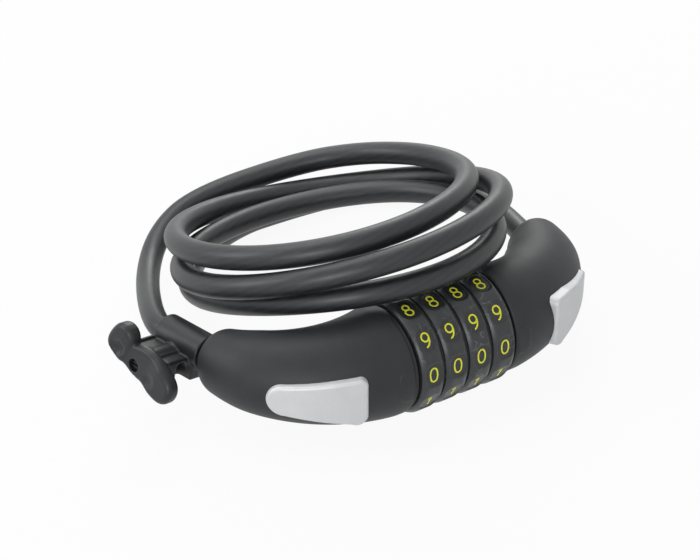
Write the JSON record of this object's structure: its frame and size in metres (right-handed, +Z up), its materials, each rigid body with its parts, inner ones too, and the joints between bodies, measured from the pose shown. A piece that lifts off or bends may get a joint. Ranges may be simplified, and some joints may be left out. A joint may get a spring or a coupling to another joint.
{
  "type": "bicycle cable lock",
  "caption": "Coiled spiral cable lock with a curved head, number wheels between two covers, silver plates and a clip-on frame bracket on the cable.",
  "frame": {"origin": "middle of the underside of the rigid lock head, cable and bracket left out", "axes": "+Z up from the floor, +X along the number wheel axis toward the plug half, -Y toward the digits that are read"},
  "size_m": [0.1649, 0.144, 0.0612],
  "materials": {
    "soft_black": "matte",
    "wheel_black": "satin",
    "silver_plate": "satin",
    "steel": "satin",
    "brass": "satin",
    "cable_plastic": "semi gloss",
    "bracket_black": "matte"
  },
  "bodies": {
    "head": {"dial_cover": "soft_black", "dial_plate": "silver_plate", "barrel": "steel", "flange_ring": "wheel_black", "pressure_washer": "steel", "spacer_ring_1": "wheel_black", "spacer_ring_2": "wheel_black", "spacer_ring_3": "wheel_black", "retaining_clip": "steel", "dial_ferrule": "brass", "dial_cross_pin": "steel", "dial_cover_screw": "steel", "dial_cable_root": "cable_plastic", "cable_lead": "cable_plastic", "cable_coil": "cable_plastic", "cable_tail": "cable_plastic"},
    "plug": {"plug_cover": "soft_black", "plug_plate": "silver_plate", "locking_bolt": "steel", "plug_ferrule": "brass", "plug_cross_pin": "steel", "plug_cover_screw": "steel", "plug_cable_root": "cable_plastic"},
    "wheel_1": {"number_wheel_1": "wheel_black", "code_ring_1": "brass"},
    "wheel_2": {"number_wheel_2": "wheel_black", "code_ring_2": "brass"},
    "wheel_3": {"number_wheel_3": "wheel_black", "code_ring_3": "brass"},
    "wheel_4": {"number_wheel_4": "wheel_black", "code_ring_4": "brass"},
    "bracket": {"bracket_sleeve": "bracket_black", "bracket_screw": "steel"},
    "wing": {"bracket_wing": "bracket_black"}
  },
  "joints": [
    {"name": "wheel_1_turn", "type": "hinge", "parent": "head", "child": "wheel_1", "pos_m": [-0.0138, -0.00725, 0.019], "axis": [1, 0, 0], "continuous": true},
    {"name": "wheel_2_turn", "type": "hinge", "parent": "head", "child": "wheel_2", "pos_m": [-0.0046, -0.00725, 0.019], "axis": [1, 0, 0], "continuous": true},
    {"name": "wheel_3_turn", "type": "hinge", "parent": "head", "child": "wheel_3", "pos_m": [0.0046, -0.00725, 0.019], "axis": [1, 0, 0], "continuous": true},
    {"name": "wheel_4_turn", "type": "hinge", "parent": "head", "child": "wheel_4", "pos_m": [0.0138, -0.00725, 0.019], "axis": [1, 0, 0], "continuous": true},
    {"name": "plug_slide", "type": "slide", "parent": "head", "child": "plug", "axis": [1, 0, 0], "range_m": [0, 0.042], "deforming": ["cable_tail"]},
    {"name": "bracket_turn", "type": "hinge", "parent": "head", "child": "bracket", "pos_m": [-0.06599, 0.03601, 0.019], "axis": [-0.2198, 0.9755, 0], "range_deg": [-41.7, 48.3]},
    {"name": "wing_turn", "type": "hinge", "parent": "bracket", "child": "wing", "pos_m": [-0.08372, 0.03201, 0.02001], "axis": [-0.9553, -0.2153, 0.2028], "range_deg": [-59, 31]}
  ]
}
